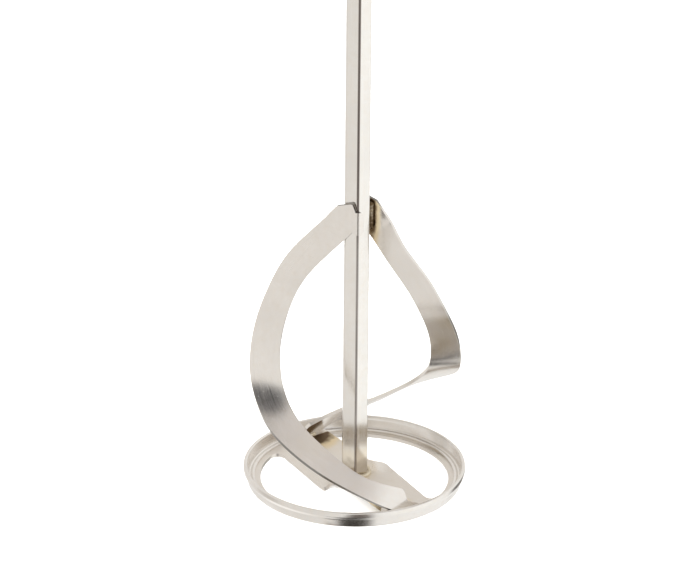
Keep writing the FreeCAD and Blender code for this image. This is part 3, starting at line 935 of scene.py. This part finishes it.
class PADDLE_OT_shaft(bpy.types.Operator):
    """Make the hexagonal shaft"""
    bl_idname = "paddle.shaft"
    bl_label = "Shaft"

    def execute(self, context):
        sizes = context.scene.paddle_sizes
        finish = context.scene.paddle_finish
        reach = sizes.across_flats / 2 / HEX_COSINE
        arc_start = reach - sizes.corner_radius * (1 / HEX_COSINE - HEX_COSINE)
        # The bar carries heat tint by the hub and a painted reflection along its front and back corners
        steel = plated("Plated bar", finish.bar, finish, 0.15, (1, 1, 0.012), 0.12,
                       tints_and_shade=[SHAFT_TINT], dark_corner_reflection=(around(1, FRONT_CORNER), arc_start))
        piece = add_piece("hexagonal_shaft", make_shaft(sizes, steel), steel)
        finish_edges(piece, sizes, width=SHAFT_EDGE_ROUND, sharp=50)
        fit_in_frame(piece, "hex_shaft")
        return {"FINISHED"}


class PADDLE_OT_ring(bpy.types.Operator):
    """Make the rim ring"""
    bl_idname = "paddle.ring"
    bl_label = "Rim ring"

    def execute(self, context):
        sizes = context.scene.paddle_sizes
        finish = context.scene.paddle_finish
        steel = plated("Plated ring", finish.ring, finish, 0.17, (1, 1, 1), 0.12)
        piece = add_piece("pressed_rim_ring", turned_mesh(ring_profile(sizes), steel), steel)
        finish_edges(piece, sizes, width=RING_EDGE_ROUND, sharp=50)
        fit_in_frame(piece, "rim_ring")
        return {"FINISHED"}


class PADDLE_OT_disc(bpy.types.Operator):
    """Make the stamped propeller disc"""
    bl_idname = "paddle.disc"
    bl_label = "Propeller disc"

    def execute(self, context):
        sizes = context.scene.paddle_sizes
        finish = context.scene.paddle_finish
        foot_line = (around(1, FOOT_LINE[0]), FOOT_LINE[1])
        tints_and_shade = [HUB_TINT]
        # By each blade's foot the disc gets heat tint and painted shade of the blade
        for tint_and_shade_place in FOOT_TINT_AND_SHADE_PLACES:
            tints_and_shade.append((around(*tint_and_shade_place), FOOT_TINT_AND_SHADE_REACH, 1.0, foot_line))
        steel = plated("Plated disc", finish.disc, finish, 0.32, (1, 1, 1), 0.3, tints_and_shade=tints_and_shade)
        web = add_piece("web", make_web(sizes), steel)
        finish_edges(web, sizes, thickness=sizes.sheet)
        rim_corners = [(WINDOW_RADIUS, 0, RIM_CORNER), (DISC_RADIUS, 0, 0),
                       (DISC_RADIUS, sizes.sheet, 0), (WINDOW_RADIUS, sizes.sheet, RIM_CORNER)]
        rim = add_piece("rim", turned_mesh(rim_corners, steel), steel)
        finish_edges(rim, sizes, width=RIM_EDGE_ROUND, sharp=60)
        with context.temp_override(active_object=web, selected_editable_objects=[web, rim]):
            bpy.ops.object.join()
        web.name = "stamped_propeller_disc"
        fit_in_frame(web, "propeller_disc")
        return {"FINISHED"}


class PADDLE_OT_blades(bpy.types.Operator):
    """Make the two twisted blades"""
    bl_idname = "paddle.blades"
    bl_label = "Blades"

    def execute(self, context):
        sizes = context.scene.paddle_sizes
        finish = context.scene.paddle_finish
        facing = around(1, BLADE_FACET)
        inner_face = sizes.across_flats / 2 + sizes.sheet * 0.3
        tints_and_shade = []
        # By each top weld the blade gets heat tint with a painted dark reflection
        for low_corner, high_corner in (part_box("blade_left_top_weld"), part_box("blade_right_top_weld")):
            centre = (low_corner + high_corner) / 2
            tints_and_shade.append((centre, TOP_TINT_AND_REFLECTION_REACH, 1.0, (facing, inner_face)))
        steel = plated("Plated strip", finish.strip, finish, 0.2, (1, 0.02, 1), 0.15, "strip_place", tints_and_shade,
                       sheet=sizes.sheet)
        left = add_piece("left_blade", make_blade(sizes, steel), steel)
        finish_edges(left, sizes, thickness=sizes.sheet)
        right = half_turned(left, "right_blade")
        fit_in_frame(left, "blade_left")
        fit_in_frame(right, "blade_right")
        return {"FINISHED"}


class PADDLE_OT_welds(bpy.types.Operator):
    """Make the weld beads"""
    bl_idname = "paddle.welds"
    bl_label = "Welds"

    def execute(self, context):
        sizes = context.scene.paddle_sizes
        finish = context.scene.paddle_finish
        bright = weld_metal("Bright weld metal", finish, 0.10, 0.45)
        scorched = weld_metal("Scorched weld metal", finish, 0.42, 0.80)
        path = []
        for step in range(HUB_BEAD_STEPS + 1):
            point = around(HUB_BEAD_PATH_RADIUS, 360 * step / HUB_BEAD_STEPS)
            path.append((point.x, point.y, base_top(sizes, point) + HUB_BEAD_LIFT))
        foot = add_piece("shaft_foot_bead", make_bead(sizes, bright, path, HUB_BEAD, 3), bright)
        fit_in_frame(foot, "shaft_foot_weld")

        low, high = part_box("blade_left_top_weld")
        reach = sizes.across_flats / 2 / HEX_COSINE
        groove = around(reach, BACK_CORNER) + around(TOP_BEAD_OFFSET, BACK_CORNER - 90)
        path = [(groove.x, groove.y, z) for z in (low.z + TOP_BEAD_INSET, high.z - TOP_BEAD_INSET)]
        top = add_piece("left_blade_top_bead", make_bead(sizes, scorched, path, TOP_BEAD, 5), scorched)
        fit_in_frame(half_turned(top, "right_blade_top_bead"), "blade_right_top_weld")
        fit_in_frame(top, "blade_left_top_weld")

        path = [around(*point) for point in FOOT_BEAD_PATH]
        low_bead = add_piece("left_blade_foot_bead", make_bead(sizes, bright, path, FOOT_BEAD, 8), bright)
        fit_in_frame(half_turned(low_bead, "right_blade_foot_bead"), "blade_right_foot_weld")
        fit_in_frame(low_bead, "blade_left_foot_weld")
        return {"FINISHED"}


# ---------------------------------------------------------------- stage

# Bright and dark cards round the studio, which only the steel mirrors: degrees about Z from +X, degrees up,
# half width and softness in degrees, colour. A later card lies over the earlier ones.
STUDIO_CARDS = [
    (338, -26, 22, 20, (1.13, 1.13, 1.11)),
    (5, 60, 24, 24, (0.75, 0.72, 0.70)),
    (47, -20, 15, 8, (0.22, 0.21, 0.20)),
    (88, 14, 9, 6, (0.80, 0.77, 0.73)),
    (170, -17, 14, 12, (0.70, 0.67, 0.63)),
    (132, -57, 14, 14, (1.12, 1.11, 1.09)),
    (278, 3, 9, 10, (0.26, 0.20, 0.15)),
    (276, -12, 10, 12, (0.20, 0.16, 0.13)),
    (276, -28, 11, 12, (0.15, 0.13, 0.12)),
    (274, -44, 11, 12, (0.10, 0.085, 0.075)),
    (271, -57, 12, 10, (0.06, 0.055, 0.05)),
    (270, -72, 11, 10, (0.05, 0.045, 0.04)),
    (290, 76, 14, 14, (0.08, 0.08, 0.085)),
    (232, -64, 4, 4, (0.42, 0.35, 0.29)),
    (236, -71, 7, 4, (0.05, 0.045, 0.045)),
    (90, -88, 7, 6, (0.06, 0.055, 0.05)),
]


def direction(azimuth, elevation):
    """Unit vector at an azimuth about Z from +X and an elevation."""
    turn, rise = math.radians(azimuth), math.radians(elevation)
    return Vector((math.cos(turn) * math.cos(rise), math.sin(turn) * math.cos(rise), math.sin(rise)))


def make_world():
    """Soft white studio, dimmer and warmer on the left, with cards for the steel to mirror.
    The camera itself sees plain white."""
    world = bpy.data.worlds.new("Studio")
    bpy.context.scene.world = world
    world.use_nodes = True
    tree = world.node_tree
    tree.nodes.clear()
    way = add(tree, "ShaderNodeTexCoord").outputs["Generated"]

    def toward(azimuth, elevation):
        return vectors(tree, "DOT_PRODUCT", way, direction(azimuth, elevation))

    dim, bright = (0.88, 0.86, 0.83), (1.06, 1.06, 1.05)
    light = mix_colours(tree, ramp(tree, toward(350, -10), -0.6, 0.8), dim, bright)
    for azimuth, elevation, half_width, softness, colour in STUDIO_CARDS:
        outer = math.cos(math.radians(half_width + softness / 2))
        inner = math.cos(math.radians(max(half_width - softness / 2, 0.5)))
        light = mix_colours(tree, ramp(tree, toward(azimuth, elevation), outer, inner), light, colour)
    seen = add(tree, "ShaderNodeLightPath").outputs["Is Camera Ray"]
    shown = mix_colours(tree, seen, light, (1.0, 1.0, 1.0))
    background = add(tree, "ShaderNodeBackground", {"Color": shown, "Strength": 1.0}).outputs[0]
    tree.links.new(background, tree.nodes.new("ShaderNodeOutputWorld").inputs[0])


# Soft lamps that light only the floor: place in metres and power in watts
LAMPS = {
    "key_lamp": ((0.9, -0.7, 1.3), 36),
    "fill_lamp": ((-1.1, -0.4, 1.0), 30),
    "front_lamp": ((0.0, -1.3, 0.8), 36),
}
LAMP_TARGET = (0, 0, 0.06)
LAMP_WIDTH = 1.5
FLOOR_RADIUS = 12
FLOOR_GAP = 0.05 * MM               # the floor lies this much under the base, so that the two don't flicker

# Camera: far away with a long lens, a little above the paddle and rolled slightly
CAMERA_ELEVATION = math.radians(26.3)
CAMERA_ROLL = 0.00967               # radians
CAMERA_DISTANCE = 10.0
CAMERA_AIM = Vector((-3.33, 35.4, 71.7)) * MM
LENS_PER_METRE = 127.45             # lens in mm for each metre of distance
SENSOR_WIDTH = 36


def add_lamp(name, place, power):
    """Soft square lamp that points at the paddle and isn't mirrored in it."""
    data = bpy.data.lights.new(name, "AREA")
    data.shape = "RECTANGLE"
    data.size = data.size_y = LAMP_WIDTH
    data.energy = power
    lamp = bpy.data.objects.new(name, data)
    lamp.location = place
    lamp.rotation_euler = (Vector(LAMP_TARGET) - Vector(place)).to_track_quat("-Z", "Y").to_euler()
    lamp.visible_glossy = False
    bpy.context.scene.collection.objects.link(lamp)


def add_camera():
    """The camera, aimed along its elevation with its roll about that line."""
    ahead = Vector((0, math.cos(CAMERA_ELEVATION), -math.sin(CAMERA_ELEVATION)))
    level = Vector((1, 0, 0))
    upright = Vector((0, math.sin(CAMERA_ELEVATION), math.cos(CAMERA_ELEVATION)))
    right = level * math.cos(CAMERA_ROLL) + upright * math.sin(CAMERA_ROLL)
    up = upright * math.cos(CAMERA_ROLL) - level * math.sin(CAMERA_ROLL)
    data = bpy.data.cameras.new("Camera")
    data.lens = LENS_PER_METRE * CAMERA_DISTANCE
    data.sensor_width = SENSOR_WIDTH
    data.clip_end = 100
    camera = bpy.data.objects.new("Camera", data)
    turn = Matrix((right, up, -ahead)).transposed().to_4x4()
    camera.matrix_world = Matrix.Translation(CAMERA_AIM - ahead * CAMERA_DISTANCE) @ turn
    bpy.context.scene.collection.objects.link(camera)
    bpy.context.scene.camera = camera


class PADDLE_OT_stage(bpy.types.Operator):
    """Make the pale floor, the soft lights and the camera"""
    bl_idname = "paddle.stage"
    bl_label = "Stage"

    def execute(self, context):
        finish = context.scene.paddle_finish
        work = bmesh.new()
        bmesh.ops.create_circle(work, cap_ends=True, segments=96, radius=FLOOR_RADIUS)
        mesh = bpy.data.meshes.new("floor")
        work.to_mesh(mesh)
        work.free()
        mesh.transform(Matrix.Translation((0, 0, -FLOOR_GAP)))
        pale = bpy.data.materials.new("Pale floor")
        pale.use_nodes = True
        shader = pale.node_tree.nodes["Principled BSDF"]
        shader.inputs["Base Color"].default_value = (*finish.floor, 1)
        shader.inputs["Roughness"].default_value = 0.9
        shader.inputs["Specular IOR Level"].default_value = 0.1
        floor = add_piece("floor", mesh, pale)
        floor.visible_glossy = False
        make_world()
        for name, (place, power) in LAMPS.items():
            add_lamp(name, place, power)
        add_camera()
        context.scene.view_settings.view_transform = "Standard"
        return {"FINISHED"}


class PADDLE_PT_panel(bpy.types.Panel):
    """Buttons that make the paddle's pieces"""
    bl_idname = "PADDLE_PT_panel"
    bl_label = "Mixing paddle"
    bl_space_type = "VIEW_3D"
    bl_region_type = "UI"
    bl_category = "Paddle"

    def draw(self, context):
        for operator in OPERATORS:
            self.layout.operator(operator.bl_idname)
        for group in (context.scene.paddle_sizes, context.scene.paddle_finish):
            box = self.layout.box()
            for label in group.__annotations__:
                box.prop(group, label)


OPERATORS = [PADDLE_OT_shaft, PADDLE_OT_ring, PADDLE_OT_disc, PADDLE_OT_blades, PADDLE_OT_welds,
             PADDLE_OT_stage]
CLASSES = [PaddleSizes, PaddleFinish, *OPERATORS, PADDLE_PT_panel]


def register():
    for cls in CLASSES:
        bpy.utils.register_class(cls)
    bpy.types.Scene.paddle_sizes = bpy.props.PointerProperty(type=PaddleSizes)
    bpy.types.Scene.paddle_finish = bpy.props.PointerProperty(type=PaddleFinish)


def unregister():
    del bpy.types.Scene.paddle_finish
    del bpy.types.Scene.paddle_sizes
    for cls in reversed(CLASSES):
        bpy.utils.unregister_class(cls)


def main():
    """Makes every piece and the stage."""
    register()
    for operator in OPERATORS:
        group, name = operator.bl_idname.split(".")
        if getattr(getattr(bpy.ops, group), name)() != {"FINISHED"}:
            raise RuntimeError(f"{operator.bl_label} wasn't made")


if __name__ == "__main__":
    main()
